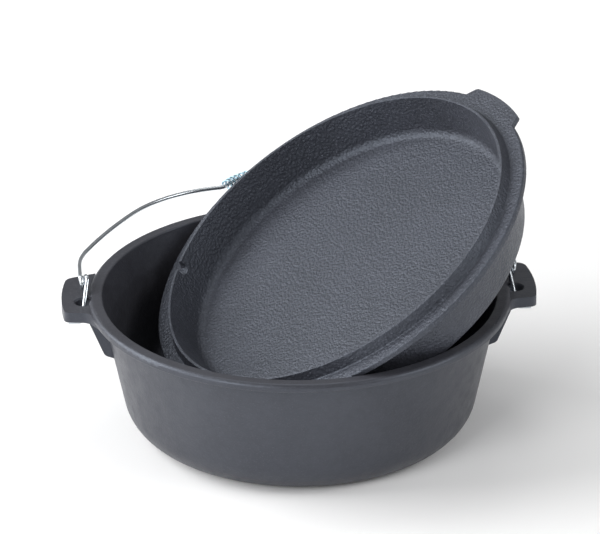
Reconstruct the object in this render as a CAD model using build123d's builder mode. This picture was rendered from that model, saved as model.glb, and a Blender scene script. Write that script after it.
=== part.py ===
"""Cast iron dutch oven: a round pot with two flat ears, a deep reversible lid left
leaning in the pot's mouth, and a folded wire bail with a coil spring grip.

Millimetres, +Z up. The origin is the centre of the pot's flat base, +X runs through
the right ear and -Y is the front. The lid is drawn in its own frame, with its
locating ring's edge at height 0 and its top plate below, and is then set down in
the pot's mouth. The bail is drawn folded to the rear.
"""
import os
from math import atan2, cos, radians, sin, tan

from build123d import *

# ---- pot
POT_HEIGHT = 100.0
POT_BASE_R = 121.0        # where the wall's line meets the base plane
WALL_DRAFT = 11.65        # lean of the wall, degrees
WALL = 4.2
FLOOR = 5.0
OUTER_CORNER_R = 26.0
INNER_CORNER_R = 22.0
RIM_R = 149.0
RIM_BAND = 5.5            # height of the rim's outer face
RIM_TOP_ROUND = 3.2
RIM_FOOT_ROUND = 1.4
NECK_ROUND = 2.5
NECK_DROP = 3.0           # from the rim's underside to the plain wall
MOUTH_R = 139.5
MOUTH_ROUND = 1.5
SEAT_DEPTH = 20.0         # the mouth widens over this depth to take the lid's ring
SEAT_ROUND = 30.0

# ---- ears: flat plates that run further behind the bail's hole than in front of it
EAR_TOP = 97.0
EAR_THICK = 7.6
EAR_ROOT_X = 143.0
EAR_TIP = (168.0, 4.0)
EAR_FRONT_CORNER = (166.2, -16.8)
EAR_REAR_CORNER = (163.8, 38.8)
EAR_REAR_ROOT_Y = 46.0
EAR_FRONT_ROOT = (141.0, -33.0)    # the front edge runs out along the rim
EAR_FRONT_COVE = (149.8, -18.6)
EAR_COVE_R = 9.0
EAR_FRONT_R = 5.0
EAR_REAR_R = 8.0
WEB_TOP_X = 150.0
WEB_KNEE = (138.8, 61.5)  # radius and height
WEB_KNEE_R = 5.0
WEB_FOOT = (130.5, 58.5)
WEB_FRONT_Y = -15.0
WEB_REAR_Y = 36.0
WEB_BITE = 1.5            # how far the webs reach into the wall, short of its inside
HOLE_X = 152.6
HOLE_D = 12.0
HOLE_EASE = 1.0           # the hole's edges are opened out by this much
HOLE_DEPTH = 28.0         # its core cuts the rim's flank above the ear and the web below

# ---- lid, in its own frame
LID_DEPTH = 50.0          # ring edge to the coal rim's edge
LID_FLOOR = 31.0          # ring edge to the cavity's floor
LID_PLATE = 5.0
RING_H = 8.0
RING_INNER_R = 133.1
RING_OUTER_R = 135.1
RING_ROOT_R = 137.6
FLANGE_R = 148.2
FLANGE_THICK = 3.8
LID_FLOOR_R = 126.2
LID_OUTER_TOP_R = 139.4
LID_OUTER_FOOT_R = 127.2
COAL_RIM_INNER_R = 120.5
COAL_RIM_FOOT_R = 118.5
FLOOR_COVE_R = 6.5
RING_ROUND = 0.5
FLANGE_ROUND = 1.0
SHOULDER_ROUND = 4.5
OUTER_FOOT_ROUND = 4.5
COAL_RIM_ROUND = 1.5
PLATE_ROUND = 3.0
TAB_R = 155.0
TAB_CORNER_X = 152.0
TAB_CORNER_Y = 29.5
TAB_CORNER_ROUND = 4.0
TAB_ROOT_X = 144.0
TAB_ROOT_Y = 33.5
TAB_BURIED_X = 136.0      # where the tab ends inside the bowl's wall
TAB_BURIED_Y = 37.5
TAB_TURN = 3.4            # tabs' turn from the line of steepest slope, degrees
NOTCH_W = 8.7
NOTCH_START_R = 122.0     # the cut passes through the ring from here
NOTCH_END_R = 138.5
NOTCH_TURN = 130.8        # from the upper tab to the notch, degrees

# ---- how the lid lies in the mouth
LID_CENTRE = (24.1, 8.6, 138.5)
LID_TILT = 32.5           # from level, degrees
LID_FACES = -160.2        # compass direction that the cavity leans to, degrees

# ---- bail
WIRE_D = 3.1
BAIL_X = 154.2            # straight legs
LEG_END_Y = 34.0
ELBOW_END = (-148.6, 59.5)
SHOULDER_END = (-113.4, 120.6)
CROWN_END = (-48.0, 161.0)
HUMP_START = (-42.3, 164.6)
EYE_R = 4.2               # pigtail turn, to the wire's centre
EYE_Y = 17.0
EYE_SHIFT = 4.9           # sideways travel of the pigtail
EYE_TURN = 405.0          # degrees
HOOK_SPLAY = 1.5
HOOK_REACH = 11.0         # from the hinge line to the foot under the ear
HOOK_FOOT = 9.5
HOOK_BEND_R = 3.0
BEND_SWELL = 0.05         # the wire's slight swell where the pigtail begins and ends

# ---- grip: a coil spring, drawn as its outer sleeve
GRIP_D = 9.0
GRIP_WIRE_D = 1.5

# ---- worked out
SLOPE = tan(radians(WALL_DRAFT))
LEAN = radians(45)        # the hook's lean in the hole when the bail is folded
HINGE_Z = EAR_TOP - EAR_THICK / 2
EYE_Z = HINGE_Z + EYE_Y - 2 * EYE_R * sin(LEAN)
LEG_Z = EYE_Z + EYE_R
WIRE_R = WIRE_D / 2

os.makedirs("parts", exist_ok=True)


def wall_r(z, base_r):
    """Radius of a drafted wall at height z."""
    return base_r + z * SLOPE


def round_corner(sketch, point, radius):
    """Round the corner of a sketch that is nearest to a point."""
    fillet(sketch.vertices().sort_by_distance(point)[0], radius)


# ================================================================ pot
inner_base_r = POT_BASE_R - WALL / cos(radians(WALL_DRAFT))
seat_z = POT_HEIGHT - SEAT_DEPTH
band_z = POT_HEIGHT - RIM_BAND
neck_z = band_z - NECK_DROP
ear_base_z = EAR_TOP - EAR_THICK
web_inner_r = POT_BASE_R - WEB_BITE
wall_core = Pos(0, 0, HINGE_Z / 2) * Cone(web_inner_r, wall_r(HINGE_Z, web_inner_r), HINGE_Z)

with BuildPart() as pot:
    with BuildSketch(Plane.XZ) as section:
        with BuildLine():
            Polyline(
                (0, 0),
                (POT_BASE_R, 0),
                (wall_r(neck_z, POT_BASE_R), neck_z),
                (RIM_R, band_z),
                (RIM_R, POT_HEIGHT),
                (MOUTH_R, POT_HEIGHT),
                (wall_r(seat_z, inner_base_r), seat_z),
                (wall_r(FLOOR, inner_base_r), FLOOR),
                (0, FLOOR),
                close=True,
            )
        make_face()
        round_corner(section, (POT_BASE_R, 0), OUTER_CORNER_R)
        round_corner(section, (wall_r(FLOOR, inner_base_r), FLOOR), INNER_CORNER_R)
        round_corner(section, (wall_r(neck_z, POT_BASE_R), neck_z), NECK_ROUND)
        round_corner(section, (RIM_R, band_z), RIM_FOOT_ROUND)
        round_corner(section, (RIM_R, POT_HEIGHT), RIM_TOP_ROUND)
        round_corner(section, (MOUTH_R, POT_HEIGHT), MOUTH_ROUND)
        round_corner(section, (wall_r(seat_z, inner_base_r), seat_z), SEAT_ROUND)
    revolve(axis=Axis.Z)

    for side in (1, -1):
        with BuildSketch(Plane.XY.offset(ear_base_z)) as ear_plan:
            with BuildLine():
                ThreePointArc(*((side * x, y) for x, y in (EAR_FRONT_CORNER, EAR_TIP, EAR_REAR_CORNER)))
                Polyline(
                    (side * EAR_REAR_CORNER[0], EAR_REAR_CORNER[1]),
                    (side * EAR_ROOT_X, EAR_REAR_ROOT_Y),
                    (side * EAR_FRONT_ROOT[0], EAR_FRONT_ROOT[1]),
                    (side * EAR_FRONT_COVE[0], EAR_FRONT_COVE[1]),
                    (side * EAR_FRONT_CORNER[0], EAR_FRONT_CORNER[1]),
                )
            make_face()
            round_corner(ear_plan, (side * EAR_FRONT_CORNER[0], EAR_FRONT_CORNER[1]), EAR_FRONT_R)
            round_corner(ear_plan, (side * EAR_REAR_CORNER[0], EAR_REAR_CORNER[1]), EAR_REAR_R)
            round_corner(ear_plan, (side * EAR_FRONT_COVE[0], EAR_FRONT_COVE[1]), EAR_COVE_R)
        extrude(amount=EAR_THICK)

        with BuildSketch(Plane.XZ.offset(-WEB_REAR_Y)) as web_section:
            with BuildLine():
                Polyline(
                    (side * WEB_FOOT[0], HINGE_Z),
                    (side * WEB_TOP_X, HINGE_Z),
                    (side * WEB_TOP_X, ear_base_z),
                    (side * WEB_KNEE[0], WEB_KNEE[1]),
                    (side * WEB_FOOT[0], WEB_FOOT[1]),
                    close=True,
                )
            make_face()
            round_corner(web_section, (side * WEB_KNEE[0], WEB_KNEE[1]), WEB_KNEE_R)
        web = extrude(amount=WEB_REAR_Y - WEB_FRONT_Y, mode=Mode.PRIVATE)
        add(web - wall_core)

        with BuildSketch(Plane.XY.offset(POT_HEIGHT)):
            with Locations((side * HOLE_X, 0)):
                Circle(HOLE_D / 2)
        extrude(amount=-HOLE_DEPTH, mode=Mode.SUBTRACT)
        with Locations((side * HOLE_X, 0, EAR_TOP - HOLE_EASE / 2)):
            Cone(HOLE_D / 2, HOLE_D / 2 + HOLE_EASE, HOLE_EASE, mode=Mode.SUBTRACT)
        with Locations((side * HOLE_X, 0, ear_base_z + HOLE_EASE / 2)):
            Cone(HOLE_D / 2 + HOLE_EASE, HOLE_D / 2, HOLE_EASE, mode=Mode.SUBTRACT)

pot.part.label = "pot"

# ================================================================ lid
plate_z = -LID_FLOOR - LID_PLATE
flange_base_z = -RING_H - FLANGE_THICK

with BuildPart() as lid:
    with BuildSketch(Plane.XZ) as lid_section:
        with BuildLine():
            Polyline(
                (0, -LID_FLOOR),
                (LID_FLOOR_R, -LID_FLOOR),
                (RING_INNER_R, 0),
                (RING_OUTER_R, 0),
                (RING_ROOT_R, -RING_H),
                (FLANGE_R, -RING_H),
                (FLANGE_R, flange_base_z),
                (LID_OUTER_TOP_R, flange_base_z),
                (LID_OUTER_FOOT_R, -LID_DEPTH),
                (COAL_RIM_INNER_R, -LID_DEPTH),
                (COAL_RIM_FOOT_R, plate_z),
                (0, plate_z),
                close=True,
            )
        make_face()
        round_corner(lid_section, (LID_FLOOR_R, -LID_FLOOR), FLOOR_COVE_R)
        round_corner(lid_section, (RING_INNER_R, 0), RING_ROUND)
        round_corner(lid_section, (RING_OUTER_R, 0), RING_ROUND)
        round_corner(lid_section, (RING_ROOT_R, -RING_H), FLANGE_ROUND)
        round_corner(lid_section, (LID_OUTER_TOP_R, flange_base_z), SHOULDER_ROUND)
        round_corner(lid_section, (LID_OUTER_FOOT_R, -LID_DEPTH), OUTER_FOOT_ROUND)
        round_corner(lid_section, (COAL_RIM_INNER_R, -LID_DEPTH), COAL_RIM_ROUND)
        round_corner(lid_section, (COAL_RIM_FOOT_R, plate_z), PLATE_ROUND)
    revolve(axis=Axis.Z)

    for side in (1, -1):
        with BuildSketch(Plane.XY.offset(flange_base_z)) as tab_plan:
            with BuildLine():
                Polyline(
                    (side * TAB_BURIED_X, TAB_BURIED_Y),
                    (side * TAB_ROOT_X, TAB_ROOT_Y),
                    (side * TAB_CORNER_X, TAB_CORNER_Y),
                )
                mirror(about=Plane.XZ)
                ThreePointArc(
                    (side * TAB_CORNER_X, TAB_CORNER_Y),
                    (side * TAB_R, 0),
                    (side * TAB_CORNER_X, -TAB_CORNER_Y),
                )
                Line((side * TAB_BURIED_X, TAB_BURIED_Y), (side * TAB_BURIED_X, -TAB_BURIED_Y))
            make_face()
            for end in (1, -1):
                round_corner(tab_plan, (side * TAB_CORNER_X, end * TAB_CORNER_Y), TAB_CORNER_ROUND)
        extrude(amount=FLANGE_THICK)

    flange_edges = lid.edges().filter_by(GeomType.CIRCLE).filter_by_position(Axis.Z, flange_base_z, -RING_H)
    fillet(flange_edges.filter_by(lambda edge: abs(edge.radius - FLANGE_R) < 0.01), FLANGE_ROUND)

    notch_way = Vector(1, 0, 0).rotate(Axis.Z, 180 + NOTCH_TURN)
    with BuildSketch(Plane(origin=notch_way * NOTCH_START_R, x_dir=(0, 0, 1), z_dir=notch_way)):
        with Locations((NOTCH_W / 2 - RING_H, 0)):
            Circle(NOTCH_W / 2)
            Rectangle(RING_H, NOTCH_W, align=(Align.MIN, Align.CENTER))
    extrude(amount=NOTCH_END_R - NOTCH_START_R, mode=Mode.SUBTRACT)

lean = Location(LID_CENTRE) * Rot(0, 0, LID_FACES) * Rot(0, LID_TILT, 0) * Rot(0, 0, TAB_TURN)
lid_set = lid.part.moved(lean)
lid_set.label = "lid"

# ================================================================ bail
step = EYE_R * sin(LEAN)
eye_exit = (-BAIL_X + EYE_SHIFT, EYE_Y - step, EYE_Z + step)
hook_tip = (-HOLE_X - HOOK_SPLAY, -HOOK_REACH * sin(LEAN), HINGE_Z - HOOK_REACH * cos(LEAN))
foot_end = (hook_tip[0] - HOOK_FOOT, hook_tip[1], hook_tip[2])

eye_frame = Plane(origin=(-BAIL_X, EYE_Y, EYE_Z), x_dir=(0, 0, 1), z_dir=(1, 0, 0))
eye = eye_frame * Helix(pitch=EYE_SHIFT * 360 / EYE_TURN, height=EYE_SHIFT, radius=EYE_R)

with BuildLine(Plane.XY.offset(LEG_Z)) as half_arch:
    leg = Line((-BAIL_X, EYE_Y), (-BAIL_X, LEG_END_Y))
    elbow = TangentArc(leg @ 1, ELBOW_END, tangent=leg % 1)
    shoulder = TangentArc(elbow @ 1, SHOULDER_END, tangent=elbow % 1)
    crown = TangentArc(shoulder @ 1, CROWN_END, tangent=shoulder % 1)
    rise = TangentArc(crown @ 1, HUMP_START, tangent=crown % 1)
    climb = atan2((rise % 1).Y, (rise % 1).X)
    hump_top = (0, HUMP_START[1] - HUMP_START[0] * tan(climb / 2))
    TangentArc(HUMP_START, hump_top, tangent=rise % 1)
half_wire = half_arch.wire()

with BuildPart() as bail_wire:
    with Locations(leg @ 0, eye_exit):
        Sphere(WIRE_R + BEND_SWELL)

    with BuildSketch(Plane(origin=half_wire @ 0, z_dir=half_wire % 0)):
        Circle(WIRE_R)
    sweep(path=half_wire)

    with BuildSketch(Plane(origin=eye @ 0, z_dir=eye % 0)):
        Circle(WIRE_R)
    sweep(path=eye, is_frenet=True)

    with BuildLine() as hook:
        FilletPolyline(eye_exit, hook_tip, foot_end, radius=HOOK_BEND_R)
    with BuildSketch(Plane(origin=eye_exit, z_dir=hook.wire() % 0)):
        Circle(WIRE_R)
    sweep(path=hook.wire())
    mirror(about=Plane.YZ)

bail_wire.part.label = "bail_wire"

# ================================================================ grip
with BuildPart() as grip_spring:
    with BuildLine(Plane.XY.offset(LEG_Z)) as grip_path:
        grip_rise = TangentArc(CROWN_END, HUMP_START, tangent=crown % 1)
        mirror(about=Plane.YZ)
        TangentArc(HUMP_START, (-HUMP_START[0], HUMP_START[1]), tangent=grip_rise % 1)
    with BuildSketch(Plane(origin=grip_path.wire() @ 0, z_dir=grip_path.wire() % 0)):
        Circle(GRIP_D / 2)
        Circle(GRIP_D / 2 - GRIP_WIRE_D, mode=Mode.SUBTRACT)
    sweep(path=grip_path.wire())

grip_spring.part.label = "grip_spring"

export_step(pot.part, "parts/pot.step")
export_step(lid_set, "parts/lid.step")
export_step(bail_wire.part, "parts/bail_wire.step")
export_step(grip_spring.part, "parts/grip_spring.step")
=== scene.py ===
"""Looks for the cast iron dutch oven: camera, studio, procedural materials and the bail's open coil grip."""

from math import asin, cos, pi, radians, sin

import bpy
from mathutils import Matrix, Vector


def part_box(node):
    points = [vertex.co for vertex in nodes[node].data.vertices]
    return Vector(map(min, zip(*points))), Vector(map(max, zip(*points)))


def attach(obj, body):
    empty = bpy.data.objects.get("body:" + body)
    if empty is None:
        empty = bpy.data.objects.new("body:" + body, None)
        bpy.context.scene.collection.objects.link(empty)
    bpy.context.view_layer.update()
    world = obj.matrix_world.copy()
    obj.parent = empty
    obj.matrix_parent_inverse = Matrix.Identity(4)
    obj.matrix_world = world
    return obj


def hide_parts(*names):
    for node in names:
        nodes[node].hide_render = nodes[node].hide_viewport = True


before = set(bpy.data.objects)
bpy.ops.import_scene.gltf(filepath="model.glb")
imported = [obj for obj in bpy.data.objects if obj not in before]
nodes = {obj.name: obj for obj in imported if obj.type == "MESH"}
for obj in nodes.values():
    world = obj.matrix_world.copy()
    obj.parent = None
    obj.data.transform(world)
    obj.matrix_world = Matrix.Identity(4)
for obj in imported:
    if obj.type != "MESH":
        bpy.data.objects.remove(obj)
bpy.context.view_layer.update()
scene = bpy.context.scene

# ---- camera: the studio view, from the front and above
AZIMUTH = radians(-3.81)
ELEVATION = radians(25.42)
ROLL = radians(-0.32)
DISTANCE = 3.311
FOCAL_MM = 282.0
TARGET = (0.0004, 0.0, 0.1184)

# ---- grip coil, in metres
GRIP_D = 0.009
GRIP_WIRE_D = 0.0015
COIL_PITCH = 0.0042
HUMP_HALF = 0.0423
HUMP_FOOT_Y = 0.1646
POINTS_PER_TURN = 20
TUBE_BEVEL = 3            # bevel resolution of the coil's round section

# ---- cast iron: sizes in metres of what its colour and relief vary over
CLOUD_SIZE = 0.055
MOTTLE_SIZE = 0.005
GLOSS_SIZE = 0.009
SWELL_SIZE = 0.016
SWELL_DEPTH = 0.00030
TOOTH_TO_GRAIN = 0.45
IRON_IOR = 1.62

# ---- stage
FLOOR_HALF = 6.0
WORLD_STRENGTH = 0.32
CLIP_NEAR, CLIP_FAR = 0.05, 50.0


# ================================================================ node helpers
class Shader:
    """A material's node tree, with short ways to add and link nodes."""

    def __init__(self, name):
        self.material = bpy.data.materials.new(name)
        self.material.use_nodes = True
        self.tree = self.material.node_tree
        self.surface = self.tree.nodes["Principled BSDF"]
        self.place = self.tree.nodes.new("ShaderNodeTexCoord").outputs["Object"]

    def add(self, kind, **inputs):
        node = self.tree.nodes.new(kind)
        for key, value in inputs.items():
            self.feed(node.inputs[key.replace("_", " ")], value)
        return node

    def feed(self, socket, value):
        if isinstance(value, bpy.types.NodeSocket):
            self.tree.links.new(value, socket)
        else:
            socket.default_value = value

    def noise(self, size, detail=3.0, roughness=0.5, distortion=0.0):
        """Fractal noise whose features are about `size` metres across."""
        node = self.add("ShaderNodeTexNoise", Vector=self.place, Scale=1 / size, Detail=detail,
                        Roughness=roughness, Distortion=distortion)
        return node.outputs["Fac"]

    def pits(self, size):
        """Distance to scattered points `size` metres apart."""
        node = self.add("ShaderNodeTexVoronoi", Vector=self.place, Scale=1 / size)
        return node.outputs["Distance"]

    def ramp(self, value, low, high, to_low=0.0, to_high=1.0):
        node = self.add("ShaderNodeMapRange", Value=value)
        for key, number in (("From Min", low), ("From Max", high), ("To Min", to_low), ("To Max", to_high)):
            node.inputs[key].default_value = number
        return node.outputs["Result"]

    def math(self, operation, a, b=0.0):
        node = self.tree.nodes.new("ShaderNodeMath")
        node.operation = operation
        self.feed(node.inputs[0], a)
        self.feed(node.inputs[1], b)
        return node.outputs[0]

    def blend(self, amount, a, b):
        """Colour a where amount is 0, colour b where it is 1."""
        node = self.tree.nodes.new("ShaderNodeMix")
        node.data_type = "RGBA"
        self.feed(node.inputs["Factor"], amount)
        self.feed(node.inputs["A"], a)
        self.feed(node.inputs["B"], b)
        return node.outputs["Result"]

    def bump(self, height, depth, below=None):
        """Relief `depth` metres deep; `below` is a relief it is added to."""
        node = self.add("ShaderNodeBump", Height=height, Distance=depth, Strength=1.0)
        if below is not None:
            self.feed(node.inputs["Normal"], below)
        return node.outputs["Normal"]

    def put(self, **values):
        for key, value in values.items():
            self.feed(self.surface.inputs[key.replace("_", " ")], value)


# ================================================================ materials
OIL_TINT = (0.74, 0.84, 1.0, 1.0)


def cast_iron(name, dark, light, grain, grain_depth, roughness, painted_highlight_gain):
    """Seasoned cast iron: pebbled grain and finer tooth, clouds of oil finish, and a painted highlight: a
    lighter colour on the grain's high spots.
    """
    s = Shader(name)
    lumps = s.ramp(s.pits(grain), 0.0, 0.75, 1.0, 0.0)
    pebbles = s.math("MULTIPLY", s.math("ADD", s.noise(grain, detail=2.0), lumps), 0.5)
    tooth = s.noise(grain * TOOTH_TO_GRAIN, detail=3.0, roughness=0.6, distortion=0.6)
    clouds = s.noise(CLOUD_SIZE, detail=4.0)
    mottle = s.noise(MOTTLE_SIZE, detail=5.0, roughness=0.6)
    tone = s.math("ADD", s.math("MULTIPLY", mottle, 0.4), s.math("MULTIPLY", clouds, 0.6))
    body = s.blend(s.ramp(tone, 0.34, 0.66), dark, light)
    # painted highlight: the grain's high spots are coloured lighter and bluer, standing in for light
    # glinting on the pebbles
    painted_highlight = tuple(min(1.0, channel * painted_highlight_gain) for channel in light[:3]) + (1.0,)
    s.put(Base_Color=s.blend(s.ramp(pebbles, 0.52, 0.72), body, painted_highlight))
    gloss = s.noise(GLOSS_SIZE, detail=4.0)
    s.put(Roughness=s.ramp(gloss, 0.3, 0.7, roughness - 0.05, roughness + 0.07))
    s.put(Metallic=0.0, IOR=IRON_IOR, Specular_Tint=OIL_TINT)
    swell = s.bump(s.noise(SWELL_SIZE, detail=2.0), SWELL_DEPTH)
    s.put(Normal=s.bump(tooth, grain_depth * 0.5, s.bump(pebbles, grain_depth, swell)))
    return s.material


def zinc(name, tint, roughness):
    """Bright zinc plate over drawn wire."""
    s = Shader(name)
    smear = s.noise(0.004, detail=4.0, roughness=0.6)
    s.put(Base_Color=s.blend(s.ramp(smear, 0.35, 0.7), tint, tuple(c * 0.82 for c in tint[:3]) + (1.0,)))
    s.put(Roughness=s.ramp(s.noise(0.0015, detail=3.0), 0.3, 0.7, roughness - 0.06, roughness + 0.08))
    s.put(Metallic=1.0)
    s.put(Normal=s.bump(s.noise(0.0020, detail=2.0), 0.00001))
    return s.material


def studio_floor(name):
    s = Shader(name)
    shade = s.ramp(s.noise(0.4, detail=2.0), 0.3, 0.7)
    s.put(Base_Color=s.blend(shade, (0.95, 0.95, 0.95, 1.0), (0.97, 0.97, 0.97, 1.0)))
    s.put(Roughness=0.9)
    return s.material


pot_iron = cast_iron(
    "pot_iron", (0.027, 0.026, 0.031, 1.0), (0.041, 0.041, 0.048, 1.0),
    grain=0.0017, grain_depth=0.00012, roughness=0.42, painted_highlight_gain=1.15)
lid_iron = cast_iron(
    "lid_iron", (0.025, 0.026, 0.032, 1.0), (0.041, 0.043, 0.054, 1.0),
    grain=0.0021, grain_depth=0.00070, roughness=0.40, painted_highlight_gain=1.6)
zinc_wire = zinc("zinc_wire", (0.62, 0.66, 0.70, 1.0), 0.18)
zinc_spring = zinc("zinc_spring", (0.30, 0.44, 0.52, 1.0), 0.18)


def dress(obj, material):
    obj.data.materials.clear()
    obj.data.materials.append(material)


dress(nodes["pot"], pot_iron)
dress(nodes["lid"], lid_iron)
dress(nodes["bail_wire"], zinc_wire)


# ================================================================ grip coil
def tube(name, path, radius):
    """A closed round tube along a list of points."""
    curve = bpy.data.curves.new(name, "CURVE")
    curve.dimensions = "3D"
    curve.bevel_depth = radius
    curve.bevel_resolution = TUBE_BEVEL
    curve.use_fill_caps = True
    spline = curve.splines.new("POLY")
    spline.points.add(len(path) - 1)
    for point, at in zip(spline.points, path):
        point.co = (*at, 1.0)
    obj = bpy.data.objects.new(name, curve)
    scene.collection.objects.link(obj)
    mesh = bpy.data.meshes.new_from_object(obj.evaluated_get(bpy.context.evaluated_depsgraph_get()))
    bpy.data.objects.remove(obj)
    mesh.name = name
    made = bpy.data.objects.new(name, mesh)
    scene.collection.objects.link(made)
    mesh.polygons.foreach_set("use_smooth", [True] * len(mesh.polygons))
    return made


def coil_points():
    """The spring's wire: an open coil wound along the arc of the bail's raised middle."""
    lo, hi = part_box("grip_spring")
    top = hi.y - GRIP_D / 2
    rise = top - HUMP_FOOT_Y
    radius = (HUMP_HALF ** 2 + rise ** 2) / (2 * rise)
    middle = Vector((0, top - radius, (lo.z + hi.z) / 2))
    half_angle = asin(HUMP_HALF / radius)
    turns = 2 * half_angle * radius / COIL_PITCH
    winding = (GRIP_D - GRIP_WIRE_D) / 2
    count = round(turns * POINTS_PER_TURN)
    points = []
    for i in range(count + 1):
        along = half_angle * (2 * i / count - 1)
        turn = 2 * pi * turns * i / count
        outward = Vector((sin(along), cos(along), 0))
        lift = Vector((0, 0, winding * sin(turn)))
        points.append(middle + outward * (radius + winding * cos(turn)) + lift)
    return points


coil = tube("grip_coil", coil_points(), GRIP_WIRE_D / 2)
dress(coil, zinc_spring)
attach(coil, "bail")
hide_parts("grip_spring")

# ================================================================ stage
floor_mesh = bpy.data.meshes.new("floor")
floor_mesh.from_pydata(
    [(x * FLOOR_HALF, y * FLOOR_HALF, 0) for x, y in ((-1, -1), (1, -1), (1, 1), (-1, 1))],
    [], [(0, 1, 2, 3)])
floor = bpy.data.objects.new("floor", floor_mesh)
scene.collection.objects.link(floor)
dress(floor, studio_floor("floor"))


def softbox(name, at, size, power, aim=(0, 0, 0.08)):
    light = bpy.data.lights.new(name, "AREA")
    light.shape = "RECTANGLE"
    light.size, light.size_y = size
    light.energy = power
    obj = bpy.data.objects.new(name, light)
    scene.collection.objects.link(obj)
    obj.location = at
    obj.rotation_euler = (Vector(aim) - Vector(at)).to_track_quat("-Z", "Y").to_euler()


softbox("key_left", (-2.3, 0.5, 1.5), (2.6, 2.2), 95.0)
softbox("front_left", (-1.7, -2.0, 1.3), (1.4, 1.2), 38.0)
softbox("right_fill", (2.4, -0.9, 1.6), (1.6, 1.6), 30.0)
softbox("top", (0.0, 0.9, 2.4), (1.2, 1.2), 9.0)

world = bpy.data.worlds.new("studio")
world.use_nodes = True
world.node_tree.nodes["Background"].inputs["Color"].default_value = (1.0, 1.0, 1.0, 1.0)
world.node_tree.nodes["Background"].inputs["Strength"].default_value = WORLD_STRENGTH
scene.world = world
scene.view_settings.view_transform = "Standard"

# ================================================================ camera
back = Vector((sin(AZIMUTH) * cos(ELEVATION), -cos(AZIMUTH) * cos(ELEVATION), sin(ELEVATION)))
level = Vector((cos(AZIMUTH), sin(AZIMUTH), 0))
upright = back.cross(level)
right = level * cos(ROLL) + upright * sin(ROLL)
up = upright * cos(ROLL) - level * sin(ROLL)
lens = bpy.data.cameras.new("camera")
lens.lens = FOCAL_MM
lens.clip_start, lens.clip_end = CLIP_NEAR, CLIP_FAR
camera = bpy.data.objects.new("camera", lens)
scene.collection.objects.link(camera)
turned = Matrix((right, up, back)).transposed().to_4x4()
camera.matrix_world = Matrix.Translation(Vector(TARGET) + back * DISTANCE) @ turned
scene.camera = camera
